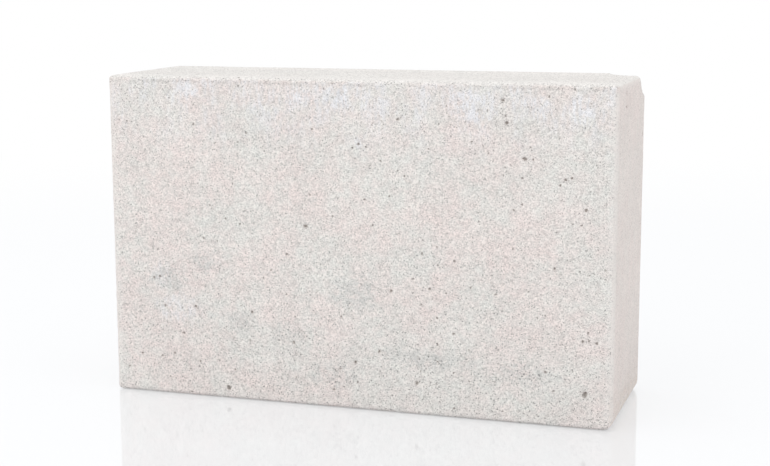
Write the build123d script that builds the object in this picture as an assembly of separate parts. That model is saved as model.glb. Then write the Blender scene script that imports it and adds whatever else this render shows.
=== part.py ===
from build123d import *
from math import sqrt
import os

# Concrete foundation block, cast in one piece, in millimetres.
# It stands on its long narrow face: X is its length, Y its thickness, Z its height.
# The front is the face at -Y. The origin is the middle of the face that it stands on.

# Overall size
block_length = 380.0
block_thickness = 120.0
block_height = 240.0

# Rounding of the arrises, from the most worn to the sharpest
right_end_bottom_arris = 7.0
front_top_arris = 3.2
right_end_front_arris = 2.6
front_bottom_arris = 2.4
back_top_arris = 2.2
other_arrises = 2.0

# Knocked-off corner: top, back, right. Its three reaches run along the edges that met there.
broken_reach_along_back = 26.0
broken_reach_along_end = 26.0
broken_reach_down = 15.5
broken_hollow_radius = 30.0

# Blow holes of the front face: distance from the right end, height from the bottom, width, depth
blow_holes = {
    "bottom_right": (19.5, 25.3, 4.4, 2.1),
    "bottom_left": (287.3, 8.6, 3.8, 1.8),
    "right_pair_near": (11.9, 62.2, 2.6, 1.2),
    "right_pair_far": (21.6, 62.9, 2.4, 1.1),
    "right_middle": (42.0, 112.9, 2.4, 1.1),
    "right_upper": (35.4, 174.8, 2.8, 1.3),
    "upper": (64.0, 188.2, 3.2, 1.5),
    "near_top": (76.9, 212.5, 2.8, 1.3),
    "middle": (224.8, 133.9, 3.0, 1.4),
    "lower_middle": (187.3, 35.8, 2.8, 1.3),
}

# Outward directions of the six faces
right, left = Vector(1, 0, 0), Vector(-1, 0, 0)
back, front = Vector(0, 1, 0), Vector(0, -1, 0)
top, bottom = Vector(0, 0, 1), Vector(0, 0, -1)

# The twelve arrises: the two faces that meet there, and the radius
arrises = [
    (right, bottom, right_end_bottom_arris),
    (front, top, front_top_arris),
    (right, front, right_end_front_arris),
    (front, bottom, front_bottom_arris),
    (back, top, back_top_arris),
    (back, bottom, other_arrises),
    (right, top, other_arrises),
    (right, back, other_arrises),
    (left, top, other_arrises),
    (left, bottom, other_arrises),
    (left, front, other_arrises),
    (left, back, other_arrises),
]


def on_block(direction):
    """The point that a direction reaches, with 1 as a face, an arris or a corner of the block."""
    return Vector(
        direction.X * block_length / 2,
        direction.Y * block_thickness / 2,
        block_height / 2 + direction.Z * block_height / 2,
    )


def arris_strip(first, second, radius):
    """What rounding takes off the arris between two faces, run out past both ends of it."""
    along = first.cross(second)
    half_run = (on_block(first + second + along) - on_block(first + second)).length
    section = Rectangle(2 * radius, 2 * radius) - Pos(-radius, -radius) * Circle(radius)
    place = Plane(origin=on_block(first + second), x_dir=first, z_dir=along)
    return place * extrude(section, half_run + radius, both=True)


def ball_through(first, second, third, radius, outward):
    """A ball whose surface passes through three points, centred on the outward side of them."""
    to_first = first - third
    to_second = second - third
    normal = to_first.cross(to_second)
    across = to_second * to_first.length**2 - to_first * to_second.length**2
    middle = third + across.cross(normal) * (0.5 / normal.length**2)
    side = 1 if normal.dot(outward) > 0 else -1
    rise = sqrt(radius**2 - (first - middle).length ** 2)
    centre = middle + normal.normalized() * (side * rise)
    return Pos(centre) * Sphere(radius)


def broken_corner():
    """The hollow fracture where the top, back, right corner is gone."""
    outward = right + back + top
    corner = on_block(outward)
    return ball_through(
        corner - right * broken_reach_along_back,
        corner - back * broken_reach_along_end,
        corner - top * broken_reach_down,
        broken_hollow_radius,
        outward,
    )


def blow_hole(from_right, from_bottom, width, depth):
    """A round-bottomed hole in the front face, of the given width at its mouth and depth."""
    radius = (width**2 / 4 + depth**2) / (2 * depth)
    mouth = on_block(front + right + bottom) - right * from_right - bottom * from_bottom
    return Pos(mouth + front * (radius - depth)) * Sphere(radius)


foundation_block = Pos(0, 0, block_height / 2) * Box(block_length, block_thickness, block_height)
for arris in arrises:
    foundation_block -= arris_strip(*arris)
foundation_block -= broken_corner()
for hole in blow_holes.values():
    foundation_block -= blow_hole(*hole)

os.makedirs("parts", exist_ok=True)
export_step(foundation_block, "parts/foundation_block.step")
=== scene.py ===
"""A concrete foundation block on a plain pale floor, in soft studio light."""

from __future__ import annotations

import logging
import math
import random
from dataclasses import dataclass, field
from enum import Enum

import bpy
from mathutils import Euler, Matrix, Vector
from mathutils.kdtree import KDTree


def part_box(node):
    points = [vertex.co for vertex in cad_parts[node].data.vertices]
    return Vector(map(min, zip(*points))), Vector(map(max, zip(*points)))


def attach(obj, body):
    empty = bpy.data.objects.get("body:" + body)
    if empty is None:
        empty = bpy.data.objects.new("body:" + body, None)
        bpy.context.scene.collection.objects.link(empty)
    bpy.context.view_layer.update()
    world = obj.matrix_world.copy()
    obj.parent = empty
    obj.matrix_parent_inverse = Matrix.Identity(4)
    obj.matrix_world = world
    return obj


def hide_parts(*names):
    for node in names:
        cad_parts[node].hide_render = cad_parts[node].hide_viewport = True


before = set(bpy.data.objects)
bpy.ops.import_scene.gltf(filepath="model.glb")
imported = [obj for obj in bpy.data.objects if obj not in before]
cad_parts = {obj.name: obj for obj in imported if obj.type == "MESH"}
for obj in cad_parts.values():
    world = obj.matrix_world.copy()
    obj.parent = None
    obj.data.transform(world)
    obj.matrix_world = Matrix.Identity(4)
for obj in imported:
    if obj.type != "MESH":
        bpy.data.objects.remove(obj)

LOG = logging.getLogger("foundation_block")
MM = 0.001
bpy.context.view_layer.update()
NODE = "foundation_block"
ARRIS_GROUP = "arris"
PIT_SHADE = "pit_shade"
Socket = bpy.types.NodeSocket
Colour = tuple[float, float, float, float]
WHITE: Colour = (1.0, 1.0, 1.0, 1.0)


def linear(red: float, green: float, blue: float) -> Colour:
    """Turn a screen colour into a scene colour.

    Args:
        red: The screen's red, 0 to 255.
        green: The screen's green, 0 to 255.
        blue: The screen's blue, 0 to 255.

    Returns:
        The linear colour with an alpha of 1.
    """
    parts = [value / 255 for value in (red, green, blue)]
    straight = [p / 12.92 if p <= 0.04045 else ((p + 0.055) / 1.055) ** 2.4 for p in parts]
    return (*straight, 1.0)


class Axis(Enum):
    """The block's own directions, by their place in a vector."""

    LENGTH = 0
    THICKNESS = 1
    HEIGHT = 2


class Face(Enum):
    """The six faces: the axis that each looks along, and its sign."""

    FRONT = (Axis.THICKNESS, -1)
    BACK = (Axis.THICKNESS, 1)
    LEFT_END = (Axis.LENGTH, -1)
    RIGHT_END = (Axis.LENGTH, 1)
    TOP = (Axis.HEIGHT, 1)
    BOTTOM = (Axis.HEIGHT, -1)

    @property
    def axis(self) -> Axis:
        """The axis that the face looks along."""
        return self.value[0]

    @property
    def sign(self) -> int:
        """1 for the face at the high end of its axis, and -1 for the other."""
        return self.value[1]


@dataclass(frozen=True)
class Varying:
    """A number that varies over a surface: an output socket with arithmetic."""

    sheet: "Sheet"
    socket: Socket

    def __add__(self, other: "Varying | float") -> "Varying":
        """Add a number or another varying value."""
        return self.sheet.maths("ADD", self, other)

    __radd__ = __add__

    def __sub__(self, other: "Varying | float") -> "Varying":
        """Take a number or another varying value away."""
        return self.sheet.maths("SUBTRACT", self, other)

    def __rsub__(self, other: float) -> "Varying":
        """Take this value away from a number."""
        return self.sheet.maths("SUBTRACT", other, self)

    def __mul__(self, other: "Varying | float") -> "Varying":
        """Multiply by a number or another varying value."""
        return self.sheet.maths("MULTIPLY", self, other)

    __rmul__ = __mul__

    def __truediv__(self, other: "Varying | float") -> "Varying":
        """Divide by a number or another varying value."""
        return self.sheet.maths("DIVIDE", self, other)

    def __abs__(self) -> "Varying":
        """The size of the value without its sign."""
        return self.sheet.maths("ABSOLUTE", self)

    def least(self, other: "Varying | float") -> "Varying":
        """The smaller of this and another value."""
        return self.sheet.maths("MINIMUM", self, other)

    def most(self, other: "Varying | float") -> "Varying":
        """The larger of this and another value."""
        return self.sheet.maths("MAXIMUM", self, other)

    def ramp(self, low: float, high: float) -> "Varying":
        """Ease from 0 at one value to 1 at another.

        Args:
            low: The value that gives 0.
            high: The value that gives 1. It may be the smaller one.

        Returns:
            The eased value, held between 0 and 1.
        """
        inputs = {"Value": self, "From Min": min(low, high), "From Max": max(low, high)}
        if high < low:
            inputs.update({"To Min": 1.0, "To Max": 0.0})
        node = self.sheet.node("ShaderNodeMapRange", {"interpolation_type": "SMOOTHSTEP"}, inputs)
        return Varying(self.sheet, node.outputs["Result"])


@dataclass
class Sheet:
    """A node tree, of a material or the world, and the ways to add to it."""

    tree: bpy.types.NodeTree

    @classmethod
    def of(cls, owner: bpy.types.Material | bpy.types.World) -> "Sheet":
        """Give a material or a world an empty node tree.

        Args:
            owner: The material or the world.

        Returns:
            The sheet of its nodes.
        """
        owner.use_nodes = True
        owner.node_tree.nodes.clear()
        return cls(owner.node_tree)

    def node(self, kind: str, settings: dict | None = None, inputs: dict | None = None) -> bpy.types.Node:
        """Add a node, with its settings first and its inputs after them.

        Args:
            kind: The node's type.
            settings: Properties of the node, such as its operation.
            inputs: Values, varying values or sockets, by input name or number.

        Returns:
            The new node.
        """
        made = self.tree.nodes.new(kind)
        for name, value in (settings or {}).items():
            setattr(made, name, value)
        for name, value in (inputs or {}).items():
            if isinstance(value, Varying):
                self.tree.links.new(value.socket, made.inputs[name])
            elif isinstance(value, Socket):
                self.tree.links.new(value, made.inputs[name])
            else:
                made.inputs[name].default_value = value
        return made

    def maths(self, operation: str, *terms: Varying | float) -> Varying:
        """Add a Math node.

        Args:
            operation: The node's operation.
            terms: The numbers and varying values that it works on.

        Returns:
            The result.
        """
        made = self.node("ShaderNodeMath", {"operation": operation}, dict(enumerate(terms)))
        return Varying(self, made.outputs[0])

    def vector(self, operation: str, inputs: dict) -> Socket:
        """Add a Vector Math node whose result is a vector."""
        return self.node("ShaderNodeVectorMath", {"operation": operation}, inputs).outputs[0]

    def stretch(self, place: Socket, factors: tuple[float, float, float]) -> Socket:
        """Multiply a place by one factor for each axis."""
        return self.vector("MULTIPLY", {0: place, 1: factors})

    def scaled(self, place: Socket, factor: Varying | float) -> Socket:
        """Multiply a vector or a colour by one factor."""
        return self.vector("SCALE", {0: place, "Scale": factor})

    def length(self, place: Socket) -> Varying:
        """Measure how long a vector is."""
        made = self.node("ShaderNodeVectorMath", {"operation": "LENGTH"}, {0: place})
        return Varying(self, made.outputs["Value"])

    def noise(self, place: Socket, period: float, detail: float = 2.0, roughness: float = 0.5) -> Varying:
        """Add soft noise, mostly between 0.3 and 0.7.

        Args:
            place: The position in millimetres.
            period: The size of its largest lumps, in millimetres.
            detail: How many finer layers it has.
            roughness: How strong those layers are.

        Returns:
            The noise.
        """
        values = {"Vector": place, "Scale": 1 / period, "Detail": detail, "Roughness": roughness}
        made = self.node("ShaderNodeTexNoise", {"noise_dimensions": "3D"}, values)
        return Varying(self, made.outputs["Fac"])

    def ripple(self, place: Socket, period: float, detail: float = 2.0, roughness: float = 0.5) -> Varying:
        """Add the same noise, swinging around 0."""
        return self.noise(place, period, detail, roughness) - 0.5

    def grains(self, place: Socket, size: float) -> tuple[Varying, Varying, Varying]:
        """Pack the space with grains.

        Args:
            place: The position in millimetres.
            size: The usual distance between grains, in millimetres.

        Returns:
            The distance from the nearest grain's centre, in grain sizes, and two numbers from 0 to 1
            that each grain has to itself.
        """
        made = self.node("ShaderNodeTexVoronoi", {"feature": "F1"}, {"Vector": place, "Scale": 1 / size})
        own = self.node("ShaderNodeSeparateColor", {}, {0: made.outputs["Color"]})
        sockets = (made.outputs["Distance"], own.outputs[0], own.outputs[1])
        distance, first, second = (Varying(self, socket) for socket in sockets)
        return distance, first, second

    def blend(self, factor: Varying | float, base: Colour | Socket, over: Colour | Socket) -> Socket:
        """Lay one colour over another.

        Args:
            factor: How much of the second colour shows.
            base: The first colour.
            over: The second colour.

        Returns:
            The mixed colour.
        """
        # A Mix node's colours are its inputs 6 and 7, and its mixed colour is output 2.
        inputs = {0: factor, 6: base, 7: over}
        return self.node("ShaderNodeMix", {"data_type": "RGBA"}, inputs).outputs[2]


@dataclass(frozen=True)
class SoftSpot:
    """A soft-edged patch on the front face, in millimetres."""

    along: float
    up: float
    half_width: float
    half_height: float
    strength: float


@dataclass(frozen=True)
class CastConcrete:
    """Pale, fine-grained, vibrated concrete, with the marks of the mould and of handling.

    Sizes and heights are in millimetres. A contrast is a share of the concrete's own lightness,
    and a cover is how much of a mark's colour shows where the mark is strongest.
    """

    base: Colour = linear(227, 221, 217)
    pink: Colour = linear(231, 217, 213)
    cool: Colour = linear(222, 224, 219)
    moulded_end: Colour = linear(227, 217, 212)
    # The colour of the struck top: partly its finish, and partly painted light that brightens the top face.
    struck_and_lit_top: Colour = linear(230, 228, 225)
    worn_arris: Colour = linear(237, 235, 231)
    lime_bloom: Colour = linear(232, 232, 235)
    # The grey of the stains and of the darkening towards the bottom of the block.
    stain_and_low_grey: Colour = linear(204, 203, 200)
    earth: Colour = linear(196, 176, 152)
    fracture: Colour = linear(207, 202, 195)
    # The painted shade of the blow holes, of the rings around their mouths and of the pores.
    pit: Colour = linear(150, 142, 136)
    roughness: float = 0.9
    specular: float = 0.25
    relief_height: float = 0.6
    crease_height: float = 236.2
    fine_grain: float = 0.7
    coarse_grain: float = 1.45
    pore_spacing: float = 6.0
    fine_contrast: float = 0.42
    dark_fine_grains: float = -0.5
    dark_coarse_grains: float = -0.1
    sand_contrast: float = 0.05
    mottle_contrast: float = 0.12
    streak_contrast: float = 0.1
    comb_contrast: float = 0.2
    # How dark the painted shade along the crease under the front top arris is.
    crease_shade: float = 0.1
    base_cover: float = 0.58
    hue_cover: float = 0.3
    end_cover: float = 0.6
    top_cover: float = 0.8
    bloom_cover: float = 0.95
    stain_cover: float = 0.95
    low_darkening_cover: float = 0.26
    earth_cover: float = 0.25
    worn_line_cover: float = 0.6
    worn_strip_cover: float = 0.3
    fracture_cover: float = 0.85
    pit_shade_cover: float = 0.85
    spot_wander: float = 5.0
    blooms: tuple[SoftSpot, ...] = (
        SoftSpot(-126, 231, 9, 8, 0.9),
        SoftSpot(-41, 226, 9, 9, 0.9),
        SoftSpot(-10, 227, 13, 9, 1.0),
        SoftSpot(24, 222, 7, 7, 0.7),
        SoftSpot(90, 224, 15, 11, 1.0),
        SoftSpot(137, 222, 9, 9, 0.8),
        SoftSpot(165, 222, 9, 11, 0.9),
        SoftSpot(5, 195, 4, 4, 0.7),
        SoftSpot(-136, 66, 16, 10, 0.6),
        SoftSpot(-150, 92, 7, 9, 0.5),
    )
    stains: tuple[SoftSpot, ...] = (
        SoftSpot(-144, 88, 14, 9, 1.0),
        SoftSpot(-114, 103, 10, 8, 0.8),
        SoftSpot(0, 87, 16, 14, 0.9),
        SoftSpot(-49, 54, 15, 8, 0.6),
        SoftSpot(-88, 60, 12, 10, 0.6),
        SoftSpot(52, 42, 34, 7, 0.9),
        SoftSpot(-14, 26, 20, 9, 0.7),
        SoftSpot(130, 36, 22, 8, 0.7),
    )


@dataclass(frozen=True)
class Zones:
    """A point's place on the block, in millimetres, and how far it belongs to each zone, 0 to 1."""

    place: Socket
    x: Varying
    y: Varying
    z: Varying
    end: Varying
    top: Varying
    front: Varying
    front_top_arris: Varying
    arris_line: Varying
    rubbed_strip: Varying


@dataclass(frozen=True)
class Grain:
    """The concrete's texture: its lightness, which holds painted shade along the front top arris, the marks
    of the mould, the pores and the bumps.
    """

    lightness: Varying
    streaks: Varying
    combed: Varying
    pores: Varying
    bumps: Varying
    stones: Varying
    stone_height: Varying


@dataclass
class ConcreteMaterial:
    """Builds the block's material.

    The block's size is in millimetres. The ball that the fracture follows is in metres.
    """

    finish: CastConcrete
    length: float
    thickness: float
    height: float
    fracture_centre: Vector
    fracture_radius: float

    def build(self) -> bpy.types.Material:
        """Make the material.

        Returns:
            The finished material.
        """
        finish = self.finish
        material = bpy.data.materials.new("cast_concrete")
        sheet = Sheet.of(material)
        zones = self.zones(sheet)
        blooms = self.blooms(sheet, zones)
        stains = self.stains(sheet, zones)
        grain = self.grain(sheet, zones, blooms, stains)

        colour = self.marks(sheet, zones, self.hues(sheet, zones), blooms, stains)
        colour = sheet.scaled(colour, grain.lightness + grain.streaks + grain.combed)
        worn = (zones.arris_line * finish.worn_line_cover).most(zones.rubbed_strip * finish.worn_strip_cover)
        colour = sheet.blend(worn * (1 - grain.pores), colour, finish.worn_arris)
        broken = self.broken(sheet, zones.place)
        broken_colour = sheet.blend(grain.stones * 0.6, finish.fracture, finish.cool)
        colour = sheet.blend(broken * finish.fracture_cover, colour, broken_colour)
        # Painted shade: the blow holes darken with depth, in a ring around their mouths and in the pores.
        depth = sheet.node("ShaderNodeAttribute", {"attribute_name": PIT_SHADE}).outputs["Fac"]
        hollow = Varying(sheet, depth).ramp(0.05, 0.9).most(grain.pores)
        colour = sheet.blend(hollow * finish.pit_shade_cover, colour, finish.pit)

        height = grain.bumps + broken * grain.stone_height
        bump = {"Height": height, "Strength": 1.0, "Distance": finish.relief_height * MM}
        rough = finish.roughness + (grain.lightness - 1.0) * 0.3
        inputs = {
            "Base Color": colour,
            "Roughness": rough.least(1.0),
            "Specular IOR Level": finish.specular,
            "Normal": sheet.node("ShaderNodeBump", {}, bump).outputs[0],
        }
        shader = sheet.node("ShaderNodeBsdfPrincipled", {}, inputs)
        sheet.node("ShaderNodeOutputMaterial", {}, {"Surface": shader.outputs[0]})
        return material

    def zones(self, sheet: Sheet) -> Zones:
        """Find where a point lies on the block. The limits of the ramps are in millimetres.

        Args:
            sheet: The material's nodes.

        Returns:
            The place and the zones, with uneven borders.
        """
        here = sheet.node("ShaderNodeTexCoord").outputs["Object"]
        place = sheet.scaled(here, 1 / MM)
        split = sheet.node("ShaderNodeSeparateXYZ", {}, {0: place})
        x, y, z = (Varying(sheet, split.outputs[axis.value]) for axis in Axis)
        to_end = self.length / 2 - abs(x)
        to_side = self.thickness / 2 - abs(y)
        to_cap = self.height / 2 - abs(z - self.height / 2)
        ragged = sheet.ripple(place, 7.0, 3.0, 0.6) * 5.0
        end = (to_end + ragged * 0.5).ramp(3.4, 1.2)
        cap = (to_cap + ragged * 0.5).ramp(2.6, 0.8)
        top = cap * z.ramp(self.height * 0.5, self.height * 0.6)
        front = to_side.ramp(3.0, 1.0) * y.ramp(0.0, -10.0) * (1 - end) * (1 - cap)
        # The middle one of the three insets says how far the nearest arris is.
        to_arris = to_end.least(to_side).most(to_end.most(to_side).least(to_cap))
        crease = self.finish.crease_height
        front_top_arris = z.ramp(crease - 3.0, crease) * y.ramp(-52.0, -57.0)
        unworn = front_top_arris.most(z.ramp(10.0, 4.0) * (1 - end))
        arris_line = to_arris.ramp(2.8, 0.8) * (1 - unworn)
        rubbed_strip = (to_arris + ragged * 1.2).ramp(7.5, 1.5) * (1 - unworn * 0.8)
        return Zones(place, x, y, z, end, top, front, front_top_arris, arris_line, rubbed_strip)

    def spots(self, zones: Zones, wander: Varying, spots: tuple[SoftSpot, ...]) -> Varying:
        """Lay soft patches on the front face.

        Args:
            zones: Where a point lies.
            wander: Noise that makes the edges uneven.
            spots: The patches.

        Returns:
            Their strength, 0 outside them.
        """
        total = None
        for spot in spots:
            across = (zones.x - spot.along) / spot.half_width
            upward = (zones.z - spot.up) / spot.half_height
            reach = across * across + upward * upward + (wander - 0.5) * self.finish.spot_wander
            patch = reach.ramp(1.7, 0.1) * spot.strength
            total = patch if total is None else total.most(patch)
        return total

    def blooms(self, sheet: Sheet, zones: Zones) -> Varying:
        """Find the pale blooms of lime, which run down from the top of the front.

        Args:
            sheet: The material's nodes.
            zones: Where a point lies.

        Returns:
            Their strength.
        """
        run_down = sheet.stretch(zones.place, (1.0, 1.0, 0.4))
        patches = self.spots(zones, sheet.noise(run_down, 6.0, 4.0, 0.75), self.finish.blooms)
        band = sheet.noise(run_down, 11.0, 4.0, 0.7).ramp(0.42, 0.64) * zones.z.ramp(176.0, 232.0)
        broken_up = sheet.noise(run_down, 3.2, 3.0, 0.7).ramp(0.32, 0.62)
        return patches.most(band * 0.75) * broken_up * zones.front

    def stains(self, sheet: Sheet, zones: Zones) -> Varying:
        """Find the grey, damp stains of the front.

        Args:
            sheet: The material's nodes.
            zones: Where a point lies.

        Returns:
            Their strength.
        """
        patches = self.spots(zones, sheet.noise(zones.place, 9.0, 4.0, 0.7), self.finish.stains)
        blotchy = sheet.noise(zones.place, 5.0, 4.0, 0.75).ramp(0.3, 0.66)
        return patches * blotchy * zones.front

    def hues(self, sheet: Sheet, zones: Zones) -> Socket:
        """Mix the concrete's own colours, with those of the ends and the top, whose lighter colour is partly
        painted light.

        Args:
            sheet: The material's nodes.
            zones: Where a point lies.

        Returns:
            The colour without marks or grain.
        """
        finish, place = self.finish, zones.place
        broad_hue = sheet.noise(place, 52.0, 3.0, 0.55).ramp(0.38, 0.62)
        small_hue = sheet.noise(place, 10.0, 2.0, 0.6).ramp(0.3, 0.7)
        colour = sheet.blend(broad_hue, finish.pink, finish.cool)
        colour = sheet.blend(finish.base_cover, colour, finish.base)
        colour = sheet.blend(finish.hue_cover, colour, sheet.blend(small_hue, finish.pink, finish.cool))
        colour = sheet.blend(zones.end * finish.end_cover, colour, finish.moulded_end)
        # The top face's lighter colour is partly painted light.
        return sheet.blend(zones.top * finish.top_cover, colour, finish.struck_and_lit_top)

    def marks(
        self, sheet: Sheet, zones: Zones, colour: Socket, blooms: Varying, stains: Varying
    ) -> Socket:
        """Lay the blooms, the stains, a darkening towards the bottom of the block and the earth at its foot
        over a colour.

        Args:
            sheet: The material's nodes.
            zones: Where a point lies.
            colour: The bare concrete.
            blooms: How strong the blooms are.
            stains: How strong the stains are.

        Returns:
            The marked colour.
        """
        finish, x, z = self.finish, zones.x, zones.z
        colour = sheet.blend(blooms * finish.bloom_cover, colour, finish.lime_bloom)
        cloudy = sheet.noise(zones.place, 30.0, 4.0, 0.6).ramp(0.32, 0.72)
        # Darker towards the bottom of the block, more on its left and less on its ends, in the stains' grey.
        low = z.ramp(120.0, 0.0) * cloudy * (1 - zones.end * 0.8) * (x.ramp(-170.0, -40.0) * 0.7 + 0.3)
        damp = (stains * finish.stain_cover).most(low * finish.low_darkening_cover)
        colour = sheet.blend(damp, colour, finish.stain_and_low_grey)
        across_end = sheet.stretch(zones.place, (1.0, 0.35, 1.0))
        crumbs = sheet.noise(across_end, 3.0, 4.0, 0.75).ramp(0.42, 0.58)
        foot = z.ramp(30.0, 3.0) * crumbs * zones.end * x.ramp(0.0, 1.0)
        return sheet.blend(foot * finish.earth_cover, colour, finish.earth)

    def grain(self, sheet: Sheet, zones: Zones, blooms: Varying, stains: Varying) -> Grain:
        """Make the sand, the grains, the pores, the marks of mould and trowel, and the painted shade along
        the front top arris.

        Args:
            sheet: The material's nodes.
            zones: Where a point lies.
            blooms: How strong the blooms are, which hide some grain.
            stains: How strong the stains are, which bring out the dark grains.

        Returns:
            The texture.
        """
        finish, place = self.finish, zones.place
        fine_distance, fine_own, fine_kind = sheet.grains(place, finish.fine_grain)
        coarse_distance, coarse_own, _coarse_kind = sheet.grains(place, finish.coarse_grain)
        calm = 1 - (zones.end * 0.45).least(1 - zones.top) - blooms * 0.25
        every_grain = (fine_own - 0.5) * finish.fine_contrast
        fine_dark = fine_kind.ramp(0.1, 0.02) * finish.dark_fine_grains
        coarse_dark = coarse_own.ramp(0.05, 0.01) * finish.dark_coarse_grains
        low_front = zones.z.ramp(150.0, 20.0) * zones.front
        dark_grains = (fine_dark + coarse_dark) * (stains * 0.5 + low_front * 0.3 + 1.0)
        sand = sheet.ripple(place, 1.1, 2.0, 0.7) * finish.sand_contrast
        mottle = sheet.ripple(place, 6.0) * finish.mottle_contrast
        broad = sheet.ripple(place, 15.0) * 0.08 + sheet.ripple(place, 45.0) * 0.12
        lightness = (every_grain + dark_grains + sand + mottle) * calm + broad + 1.0
        lightness = lightness + self.strips(sheet, zones)

        pores = self.pores(sheet, place) * calm
        upright = sheet.stretch(place, (1.0, 1.0, 0.035))
        streaks = sheet.ripple(upright, 2.6, 2.0, 0.6) * zones.end * finish.streak_contrast
        lengthwise = sheet.stretch(place, (0.03, 1.0, 1.0))
        combed = sheet.ripple(lengthwise, 7.0, 3.0, 0.65) * zones.top * finish.comb_contrast
        bumps = sand * 0.8 + (0.5 - fine_distance) * 0.1 + mottle * 0.6 - pores * 0.6
        bumps = bumps * (calm * 0.8 + 0.2) + combed + streaks
        stone_height = (0.6 - coarse_distance) * 1.2
        return Grain(lightness, streaks, combed, pores, bumps, coarse_own.ramp(0.25, 0.75), stone_height)

    def strips(self, sheet: Sheet, zones: Zones) -> Varying:
        """Find the pale strips along the top face, and the painted shade of the crease under its front arris
        and of that arris's rounding.

        Args:
            sheet: The material's nodes.
            zones: Where a point lies.

        Returns:
            How much lighter they are than the rest, or darker where it is below 0.
        """
        finish, y = self.finish, zones.y
        along = sheet.noise(zones.place, 24.0, 5.0, 0.7).ramp(0.34, 0.6)
        # Painted shade: a broken dark line along the crease under the front top arris.
        crease = abs(zones.z - finish.crease_height).ramp(1.7, 0.3) * along * y.ramp(-56.0, -58.0)
        front_strip = y.ramp(-36.0, -47.0) * (1 - y.ramp(-54.0, -58.0)) * zones.top
        back_strip = y.ramp(10.0, 45.0) * zones.top
        # Painted shade on that crease and, more lightly, on the rounding of the front top arris.
        darker = crease * finish.crease_shade + zones.front_top_arris * 0.02
        return front_strip * 0.045 + back_strip * 0.035 - darker

    def pores(self, sheet: Sheet, place: Socket) -> Varying:
        """Scatter small ragged pores, each with a size of its own.

        Args:
            sheet: The material's nodes.
            place: The position in millimetres.

        Returns:
            1 in a pore and 0 outside it.
        """
        swirl = sheet.node("ShaderNodeTexNoise", {}, {"Vector": place, "Scale": 0.7, "Detail": 2.0})
        uneven = sheet.vector("ADD", {0: place, 1: sheet.scaled(swirl.outputs["Color"], 2.4)})
        distance, own, _kind = sheet.grains(uneven, self.finish.pore_spacing)
        reach = own.ramp(0.45, 1.1) * 0.15
        return (distance - reach).ramp(0.03, -0.03) * own.ramp(0.5, 0.58)

    def broken(self, sheet: Sheet, place: Socket) -> Varying:
        """Find the fracture of the broken corner.

        Args:
            sheet: The material's nodes.
            place: The position in millimetres.

        Returns:
            1 on the fracture and 0 away from it.
        """
        offset = sheet.vector("SUBTRACT", {0: place, 1: tuple(self.fracture_centre / MM)})
        return (sheet.length(offset) - self.fracture_radius / MM).ramp(1.9, 0.9)


@dataclass
class Pit:
    """A blow hole that an air bubble left in the cast face, in millimetres."""

    face: Face
    along: float
    up: float
    width: float
    depth: float


@dataclass(frozen=True)
class Lumps:
    """Lumps of one size on a surface, in metres.

    The amount is how far the highest stands from the lowest, and the middle is the level that
    stays in place: 1 keeps every move inwards. A vertex group may limit them.
    """

    name: str
    grain: float
    amount: float
    middle: float = 1.0
    group: str = ""


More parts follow.
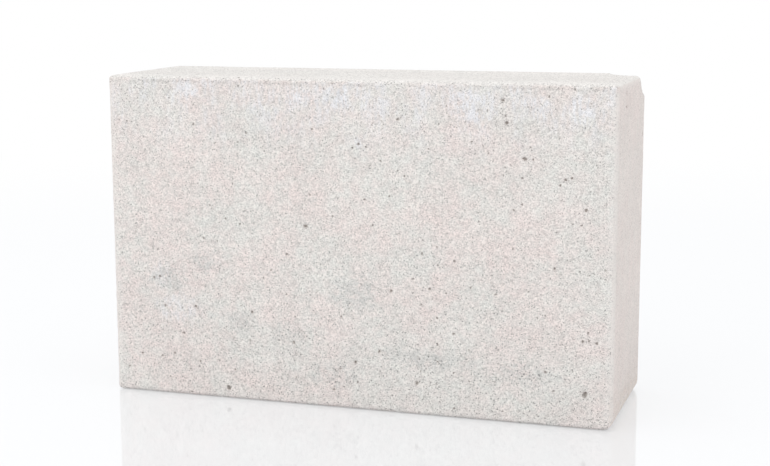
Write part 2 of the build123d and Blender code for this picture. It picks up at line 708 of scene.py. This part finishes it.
@dataclass
class FoundationBlock:
    """The solid block: worn arrises, a knocked-off corner and blow holes.

    Sizes are in metres, but those of the blow holes are in millimetres.
    """

    low: Vector
    high: Vector
    finish: CastConcrete = field(default_factory=CastConcrete)
    right_bottom_arris: float = 7.0 * MM
    front_top_arris: float = 3.2 * MM
    right_front_arris: float = 2.6 * MM
    front_bottom_arris: float = 2.4 * MM
    back_top_arris: float = 2.2 * MM
    other_arrises: float = 2.0 * MM
    arris_segments: int = 6
    broken_along_back: float = 26.0 * MM
    broken_along_end: float = 26.0 * MM
    broken_down: float = 15.5 * MM
    broken_radius: float = 30.0 * MM
    broken_lumps: tuple[Lumps, ...] = (
        Lumps("fracture lumps", 7.0 * MM, 2.4 * MM, 0.5),
        Lumps("fracture grit", 2.4 * MM, 1.0 * MM, 0.5),
    )
    wear_lumps: tuple[Lumps, ...] = (
        Lumps("face waves", 70.0 * MM, 0.3 * MM),
        Lumps("arris wear", 8.0 * MM, 0.7 * MM, group=ARRIS_GROUP),
        Lumps("arris crumbs", 2.6 * MM, 0.6 * MM, group=ARRIS_GROUP),
        Lumps("face grit", 3.2 * MM, 0.2 * MM),
    )
    arris_core: float = 0.6 * MM
    arris_fade: float = 2.6 * MM
    face_wear: float = 0.4 * MM
    voxel: float = 1.3 * MM
    triangles: int = 165000
    smooth_below: float = 38.0
    # A bubble starts as a ball of radius 1, so its lumps are shares of its radius.
    bubble_lumps: Lumps = Lumps("bubble lumps", 0.9, 0.9, 0.5)
    bubble_least: float = 0.75
    bubble_spread: float = 0.55
    narrowest_pit: float = 1.1
    pit_width_spread: float = 1.5
    pit_least_depth: float = 0.36
    pit_depth_spread: float = 0.12
    pit_margin: float = 8.0
    pit_gap: float = 0.62
    pit_tries: int = 40
    rim_reach: float = 1.15
    rim_shade: float = 0.5
    seed: int = 11

    @property
    def size(self) -> Vector:
        """The block's length, thickness and height."""
        return self.high - self.low

    @property
    def centre(self) -> Vector:
        """The middle of the block."""
        return (self.high + self.low) / 2

    def fracture_centre(self) -> Vector:
        """Find the middle of the ball whose surface is the broken corner.

        Returns:
            The point outside the block from which the fracture's hollow is struck.
        """
        corner = self.high
        first = corner - Vector((self.broken_along_back, 0, 0))
        second = corner - Vector((0, self.broken_along_end, 0))
        third = corner - Vector((0, 0, self.broken_down))
        to_first, to_second = first - third, second - third
        normal = to_first.cross(to_second)
        across = to_second * to_first.length_squared - to_first * to_second.length_squared
        middle = third + across.cross(normal) / (2 * normal.length_squared)
        outward = normal.normalized() * (1 if normal.dot(Vector((1, 1, 1))) > 0 else -1)
        rise = math.sqrt(self.broken_radius**2 - (first - middle).length_squared)
        return middle + outward * rise

    def build(self) -> bpy.types.Object:
        """Model and dress the block.

        Returns:
            The finished block, riding on the root body in place of its solid.
        """
        block = self.rounded_box()
        self.break_corner(block)
        self.even_mesh(block)
        self.weather(block)
        self.thin_out(block)
        pits = self.all_pits()
        self.cut_pits(block, pits)
        self.mark_pits(block, pits)
        block.name = "weathered_block"
        block.data.name = block.name
        block.data.materials.clear()
        block.data.materials.append(self.material())
        select_only(block)
        bpy.ops.object.shade_smooth_by_angle(angle=math.radians(self.smooth_below))
        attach(block, "root")
        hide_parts(NODE)
        return block

    def rounded_box(self) -> bpy.types.Object:
        """Make the box and round each arris by its own radius.

        Returns:
            The rounded box.
        """
        deselect()
        bpy.ops.mesh.primitive_cube_add(size=1.0, location=self.centre)
        block = bpy.context.active_object
        block.scale = self.size
        bpy.ops.object.transform_apply(location=True, rotation=False, scale=True)
        radii = {
            frozenset((Face.RIGHT_END, Face.BOTTOM)): self.right_bottom_arris,
            frozenset((Face.FRONT, Face.TOP)): self.front_top_arris,
            frozenset((Face.RIGHT_END, Face.FRONT)): self.right_front_arris,
            frozenset((Face.FRONT, Face.BOTTOM)): self.front_bottom_arris,
            frozenset((Face.BACK, Face.TOP)): self.back_top_arris,
        }
        widest = max(radii.values())
        weights = block.data.attributes.new("bevel_weight_edge", "FLOAT", "EDGE")
        for edge in block.data.edges:
            ends = [block.data.vertices[index].co for index in edge.vertices]
            faces = self.faces_at((ends[0] + ends[1]) / 2)
            weights.data[edge.index].value = radii.get(faces, self.other_arrises) / widest
        settings = {"limit_method": "WEIGHT", "width": widest, "segments": self.arris_segments}
        finish_with(block, "BEVEL", settings)
        return block

    def plane(self, face: Face) -> float:
        """Give a face's place along its own axis, in metres."""
        return (self.high if face.sign > 0 else self.low)[face.axis.value]

    def faces_at(self, spot: Vector) -> frozenset[Face]:
        """Name the faces of the square box that a point lies on, to a tenth of a millimetre."""
        touching = 0.1 * MM
        return frozenset(face for face in Face if abs(spot[face.axis.value] - self.plane(face)) < touching)

    def break_corner(self, block: bpy.types.Object) -> None:
        """Knock the top, back, right corner off with a rough ball.

        Args:
            block: The rounded box.
        """
        deselect()
        centre = self.fracture_centre()
        bpy.ops.mesh.primitive_ico_sphere_add(subdivisions=6, radius=self.broken_radius, location=centre)
        ball = bpy.context.active_object
        bpy.ops.object.transform_apply(location=True, rotation=False, scale=False)
        for lumps in self.broken_lumps:
            roughen(ball, lumps)
        cut_away(block, ball)

    def even_mesh(self, block: bpy.types.Object) -> None:
        """Give the whole block small, even faces."""
        finish_with(block, "REMESH", {"mode": "VOXEL", "voxel_size": self.voxel})

    def weather(self, block: bpy.types.Object) -> None:
        """Wear the arrises and make the faces a little uneven, always inwards.

        Args:
            block: The evenly meshed block.
        """
        group = block.vertex_groups.new(name=ARRIS_GROUP)
        for vertex in block.data.vertices:
            insets = sorted(
                min(vertex.co[i] - self.low[i], self.high[i] - vertex.co[i]) for i in range(3)
            )
            weight = 1 - min(max((insets[1] - self.arris_core) / self.arris_fade, 0.0), 1.0)
            if weight > 0:
                group.add([vertex.index], weight, "REPLACE")
        for lumps in self.wear_lumps:
            roughen(block, lumps)

    def thin_out(self, block: bpy.types.Object) -> None:
        """Merge the faces of flat places until the block is light enough."""
        finish_with(block, "DECIMATE", {"ratio": min(1.0, self.triangles / triangle_count(block))})

    def named_pits(self) -> list[Pit]:
        """List the blow holes that stand out, by their place along and up, their width and depth.

        Returns:
            Those of the front face and, after them, those of the right end.
        """
        in_the_solid = (
            (170.5, 25.3, 4.4, 2.1),
            (-97.3, 8.6, 3.8, 1.8),
            (178.1, 62.2, 2.6, 1.2),
            (168.4, 62.9, 2.4, 1.1),
            (148.0, 112.9, 2.4, 1.1),
            (154.6, 174.8, 2.8, 1.3),
            (126.0, 188.2, 3.2, 1.5),
            (113.1, 212.5, 2.8, 1.3),
            (-34.8, 133.9, 3.0, 1.4),
            (2.7, 35.8, 2.8, 1.3),
        )
        smaller = (
            (6.0, 194.6, 2.6, 1.2),
            (1.4, 191.8, 1.9, 0.9),
            (11.5, 192.8, 1.9, 0.9),
            (132.0, 187.8, 1.8, 0.8),
            (159.0, 176.0, 2.2, 1.0),
            (151.0, 171.0, 2.1, 1.0),
            (172.8, 63.5, 1.8, 0.8),
            (58.5, 93.3, 2.3, 1.1),
            (76.2, 61.9, 2.3, 1.1),
            (-77.5, 67.5, 2.5, 1.2),
            (110.2, 228.1, 2.7, 1.2),
            (-151.7, 90.2, 2.4, 1.1),
            (-156.5, 89.0, 2.2, 1.0),
            (48.9, 23.9, 3.0, 1.4),
            (-168.0, 30.0, 2.4, 1.1),
            (-179.0, 19.0, 2.0, 0.9),
            (-141.0, 32.0, 1.9, 0.9),
            (-120.0, 27.0, 2.0, 0.9),
            (-92.0, 23.0, 1.9, 0.9),
            (-148.0, 68.0, 2.0, 0.9),
            (-123.0, 69.0, 2.3, 1.1),
            (-133.0, 48.0, 2.3, 1.1),
            (-62.0, 100.0, 1.8, 0.8),
            (-45.0, 47.0, 2.5, 1.2),
            (-8.0, 69.0, 2.0, 0.9),
            (-9.0, 30.0, 2.0, 0.9),
            (-14.0, 14.0, 2.4, 1.1),
            (21.0, 45.0, 2.3, 1.1),
            (30.0, 90.0, 2.3, 1.1),
            (35.0, 213.0, 2.3, 1.1),
            (-29.0, 204.0, 2.2, 1.0),
        )
        on_right_end = ((-26.9, 232.1, 3.0, 1.4), (-25.5, 222.4, 2.8, 1.3))
        front = [Pit(Face.FRONT, *place) for place in in_the_solid + smaller]
        return front + [Pit(Face.RIGHT_END, *place) for place in on_right_end]

    def random_pit(self, face: Face, chance: random.Random) -> Pit:
        """Place a blow hole by chance, clear of the face's borders.

        Args:
            face: The face that it is in.
            chance: The source of its numbers.

        Returns:
            The blow hole. Narrow ones are likelier than wide ones.
        """
        wide, tall = (value / MM - 2 * self.pit_margin for value in self.face_size(face))
        width = self.narrowest_pit + self.pit_width_spread * chance.random() ** 3
        along = (chance.random() - 0.5) * wide
        up = self.pit_margin + chance.random() * tall
        depth = width * (self.pit_least_depth + self.pit_depth_spread * chance.random())
        return Pit(face, along, up, width, depth)

    def all_pits(self) -> list[Pit]:
        """Add seeded blow holes to the named ones, clear of each other.

        Returns:
            Every blow hole.
        """
        chance = random.Random(self.seed)
        pits = self.named_pits()
        counts = {
            Face.FRONT: 8,
            Face.RIGHT_END: 4,
            Face.TOP: 8,
            Face.BACK: 24,
            Face.LEFT_END: 4,
            Face.BOTTOM: 8,
        }
        for face, count in counts.items():
            for _ in range(count):
                for _ in range(self.pit_tries):
                    pit = self.random_pit(face, chance)
                    if all(self.clear(pit, other) for other in pits):
                        pits.append(pit)
                        break
        return pits

    def clear(self, pit: Pit, other: Pit) -> bool:
        """Say whether two blow holes stay apart.

        Args:
            pit: One blow hole.
            other: The other one.

        Returns:
            Whether they are on different faces, or far enough apart on one.
        """
        if pit.face is not other.face:
            return True
        apart = math.hypot(pit.along - other.along, pit.up - other.up)
        return apart > (pit.width + other.width) * self.pit_gap

    def face_size(self, face: Face) -> tuple[float, float]:
        """Measure a face.

        Args:
            face: The face.

        Returns:
            Its width and height, in metres.
        """
        sizes = {
            Axis.LENGTH: (self.size.y, self.size.z),
            Axis.THICKNESS: (self.size.x, self.size.z),
            Axis.HEIGHT: (self.size.x, self.size.y),
        }
        return sizes[face.axis]

    def on_face(self, pit: Pit) -> tuple[Vector, Vector]:
        """Find a blow hole's place on its face.

        Args:
            pit: The blow hole.

        Returns:
            The middle of its mouth and the face's outward normal.
        """
        axis = pit.face.axis
        normal = Vector((0, 0, 0))
        normal[axis.value] = pit.face.sign
        spot = self.centre.copy()
        spot[axis.value] = self.plane(pit.face)
        if axis is Axis.LENGTH:
            spot.y += pit.along * MM
        else:
            spot.x += pit.along * MM
        if axis is Axis.HEIGHT:
            spot.y = self.low.y + pit.up * MM
        else:
            spot.z = self.low.z + pit.up * MM
        return spot, normal

    def cut_pits(self, block: bpy.types.Object, pits: list[Pit]) -> None:
        """Cut every blow hole out of the block with a turned and squashed bubble.

        Args:
            block: The weathered block.
            pits: The blow holes.
        """
        chance = random.Random(self.seed + 1)
        deselect()
        bpy.ops.mesh.primitive_ico_sphere_add(subdivisions=3, radius=1.0)
        bubble = bpy.context.active_object
        roughen(bubble, self.bubble_lumps)
        bubbles = []
        for pit in pits:
            spot, _normal = self.on_face(pit)
            copy = bubble.copy()
            bpy.context.collection.objects.link(copy)
            half = pit.width * MM / 2
            squash = [half * (self.bubble_least + self.bubble_spread * chance.random()) for _ in range(3)]
            squash[pit.face.axis.value] = pit.depth * MM
            turn = Euler([math.tau * chance.random() for _ in range(3)]).to_matrix().to_4x4()
            copy.data = bubble.data.copy()
            copy.data.transform(turn)
            copy.matrix_world = Matrix.Translation(spot) @ Matrix.Diagonal((*squash, 1.0))
            bubbles.append(copy)
        bpy.data.objects.remove(bubble)
        select_only(*bubbles)
        bpy.ops.object.join()
        joined = bpy.context.active_object
        bpy.ops.object.transform_apply(location=True, rotation=True, scale=True)
        cut_away(block, joined)

    def mark_pits(self, block: bpy.types.Object, pits: list[Pit]) -> None:
        """Store how deep each point lies in a blow hole, and a fading ring around its mouth, as painted
        shade for the material.

        Args:
            block: The block with its blow holes cut.
            pits: The blow holes.
        """
        tree = KDTree(len(pits))
        spots = [self.on_face(pit) for pit in pits]
        for index, (spot, _normal) in enumerate(spots):
            tree.insert(spot, index)
        tree.balance()
        pit_shades = [0.0] * len(block.data.vertices)
        for vertex in block.data.vertices:
            _spot, index, distance = tree.find(vertex.co)
            pit = pits[index]
            reach = pit.width * MM * self.rim_reach
            if distance > reach:
                continue
            spot, normal = spots[index]
            below = (spot - vertex.co).dot(normal) - self.face_wear
            inside = min(max(below / (pit.depth * MM - self.face_wear), 0.0), 1.0)
            # A fading ring of painted shade around the hole's mouth.
            rim = self.rim_shade * (1 - distance / reach)
            pit_shades[vertex.index] = max(inside, rim)
        attribute = block.data.attributes.new(PIT_SHADE, "FLOAT", "POINT")
        attribute.data.foreach_set("value", pit_shades)

    def material(self) -> bpy.types.Material:
        """Make the concrete for this block's size and fracture.

        Returns:
            The finished material.
        """
        length, thickness, height = (value / MM for value in self.size)
        made = ConcreteMaterial(
            self.finish, length, thickness, height, self.fracture_centre(), self.broken_radius
        )
        return made.build()


def deselect() -> None:
    """Leave object mode's selection empty."""
    bpy.ops.object.select_all(action="DESELECT")


def select_only(*objects: bpy.types.Object) -> None:
    """Select these objects and no others, and make the first one active.

    Args:
        objects: The objects, at least one.
    """
    deselect()
    for item in objects:
        item.select_set(True)
    bpy.context.view_layer.objects.active = objects[0]


def triangle_count(item: bpy.types.Object) -> int:
    """Count the triangles that an object's faces make."""
    return sum(len(face.vertices) - 2 for face in item.data.polygons)


def finish_with(item: bpy.types.Object, kind: str, settings: dict) -> None:
    """Add a modifier to an object and apply it.

    Args:
        item: The object.
        kind: The modifier's type.
        settings: The modifier's properties.
    """
    select_only(item)
    modifier = item.modifiers.new(kind.title(), kind)
    for name, value in settings.items():
        setattr(modifier, name, value)
    bpy.ops.object.modifier_apply(modifier=modifier.name)


def roughen(item: bpy.types.Object, lumps: Lumps) -> None:
    """Move an object's surface in and out by lumps of one size.

    Args:
        item: The object.
        lumps: The lumps.
    """
    clouds = bpy.data.textures.new(lumps.name, "CLOUDS")
    clouds.noise_scale = lumps.grain
    clouds.noise_depth = 2
    settings = {
        "texture": clouds,
        "texture_coords": "LOCAL",
        "strength": lumps.amount,
        "mid_level": lumps.middle,
        "vertex_group": lumps.group,
    }
    finish_with(item, "DISPLACE", settings)


def cut_away(item: bpy.types.Object, cutter: bpy.types.Object) -> None:
    """Cut one closed shape out of another and delete the cutter.

    Args:
        item: The shape that stays.
        cutter: The shape that is cut out of it.
    """
    finish_with(item, "BOOLEAN", {"operation": "DIFFERENCE", "solver": "EXACT", "object": cutter})
    bpy.data.objects.remove(cutter)


@dataclass(frozen=True)
class SoftBox:
    """A square lamp that faces the block: its place and side in metres, and its power in watts."""

    name: str
    place: tuple[float, float, float]
    side: float
    power: float


@dataclass
class Studio:
    """The pale floor, the soft light and the camera: sizes in metres, angles in degrees."""

    floor_radius: float = 4.0
    floor_colour: Colour = linear(248, 250, 253)
    floor_glow: float = 0.38
    floor_gloss: float = 0.04
    floor_metal: float = 0.38
    floor_ior: float = 1.8
    sky_strength: float = 0.86
    lamps: tuple[SoftBox, ...] = (
        SoftBox("overhead", (-0.3, -0.5, 2.2), 2.2, 10.0),
        SoftBox("front_fill", (-1.2, -2.4, 0.9), 1.6, 10.0),
        SoftBox("right_fill", (2.4, -0.5, 0.2), 1.6, 9.0),
    )
    azimuth: float = 17.85
    elevation: float = 9.73
    roll: float = 0.18
    distance: float = 1.15296
    look_at: Vector = field(default_factory=lambda: Vector((0.00635, -0.0002, 0.12105)))
    focal_pixels: float = 1535.3
    image_width: int = 770
    sensor: float = 36.0

    def build(self) -> None:
        """Make the floor, the sky, the lamps and the camera."""
        self.floor()
        self.sky()
        for box in self.lamps:
            self.hang(box)
        self.camera()

    def floor(self) -> None:
        """Lay the round, slightly glossy pale floor, which turns plain white further out."""
        deselect()
        bpy.ops.mesh.primitive_circle_add(vertices=96, radius=self.floor_radius, fill_type="NGON")
        floor = bpy.context.active_object
        floor.name = "floor"
        material = bpy.data.materials.new("pale_floor")
        sheet = Sheet.of(material)
        away = sheet.length(sheet.node("ShaderNodeTexCoord").outputs["Object"])
        inputs = {
            "Base Color": self.floor_colour,
            "Metallic": self.floor_metal,
            "Roughness": away.ramp(0.2, 2.0) * 0.25 + self.floor_gloss,
            "IOR": self.floor_ior,
        }
        shader = sheet.node("ShaderNodeBsdfPrincipled", {}, inputs)
        white = sheet.node("ShaderNodeEmission", {}, {"Color": WHITE, "Strength": 1.0})
        glow = away.ramp(0.7, 1.6) * (1 - self.floor_glow) + self.floor_glow
        layers = {0: glow * self.seen(sheet), 1: shader.outputs[0], 2: white.outputs[0]}
        mixed = sheet.node("ShaderNodeMixShader", {}, layers)
        sheet.node("ShaderNodeOutputMaterial", {}, {"Surface": mixed.outputs[0]})
        floor.data.materials.append(material)

    @staticmethod
    def seen(sheet: Sheet) -> Varying:
        """Tell rays that show a surface, directly or in gloss or glass, from rays that light it.

        Args:
            sheet: The nodes that ask.

        Returns:
            1 on a ray that shows it and 0 on any other.
        """
        path = sheet.node("ShaderNodeLightPath")
        kinds = ("Is Camera Ray", "Is Glossy Ray", "Is Transmission Ray")
        camera, glossy, through = (Varying(sheet, path.outputs[kind]) for kind in kinds)
        return camera.most(glossy).most(through)

    def sky(self) -> None:
        """Fill the world with even light, and show it as plain white."""
        world = bpy.data.worlds.new("soft_sky")
        bpy.context.scene.world = world
        sheet = Sheet.of(world)
        lighting, shown = (
            sheet.node("ShaderNodeBackground", {}, {"Color": WHITE, "Strength": strength}).outputs[0]
            for strength in (self.sky_strength, 1.0)
        )
        mixed = sheet.node("ShaderNodeMixShader", {}, {0: self.seen(sheet), 1: lighting, 2: shown})
        sheet.node("ShaderNodeOutputWorld", {}, {"Surface": mixed.outputs[0]})

    def hang(self, box: SoftBox) -> None:
        """Hang a lamp so that it faces the block.

        Args:
            box: The lamp.
        """
        data = bpy.data.lights.new(box.name, "AREA")
        data.size = box.side
        data.energy = box.power
        lamp = bpy.data.objects.new(box.name, data)
        bpy.context.collection.objects.link(lamp)
        lamp.location = box.place
        lamp.rotation_euler = (self.look_at - Vector(box.place)).to_track_quat("-Z", "Y").to_euler()
        lamp.visible_camera = False
        lamp.visible_glossy = False

    def camera(self) -> None:
        """Place the camera at the photograph's viewing angle."""
        azimuth, elevation = math.radians(self.azimuth), math.radians(self.elevation)
        level = math.cos(elevation)
        back = Vector((math.sin(azimuth) * level, -math.cos(azimuth) * level, math.sin(elevation)))
        data = bpy.data.cameras.new("camera")
        data.sensor_fit = "HORIZONTAL"
        data.sensor_width = self.sensor
        data.lens = self.focal_pixels * self.sensor / self.image_width
        camera = bpy.data.objects.new("camera", data)
        bpy.context.collection.objects.link(camera)
        roll = Matrix.Rotation(math.radians(-self.roll), 3, "Z")
        turn = back.to_track_quat("Z", "Y").to_matrix() @ roll
        camera.matrix_world = Matrix.Translation(self.look_at + back * self.distance) @ turn.to_4x4()
        bpy.context.scene.camera = camera


def main() -> None:
    """Build the block and the studio, and report them."""
    logging.basicConfig(level=logging.INFO, format="%(name)s: %(message)s")
    bpy.context.scene.view_settings.view_transform = "Standard"
    low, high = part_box(NODE)
    block = FoundationBlock(Vector(low), Vector(high)).build()
    LOG.info("block: %d triangles", triangle_count(block))
    Studio().build()
    LOG.info("studio: floor, sky, lamps and camera")


if __name__ == "__main__":
    main()
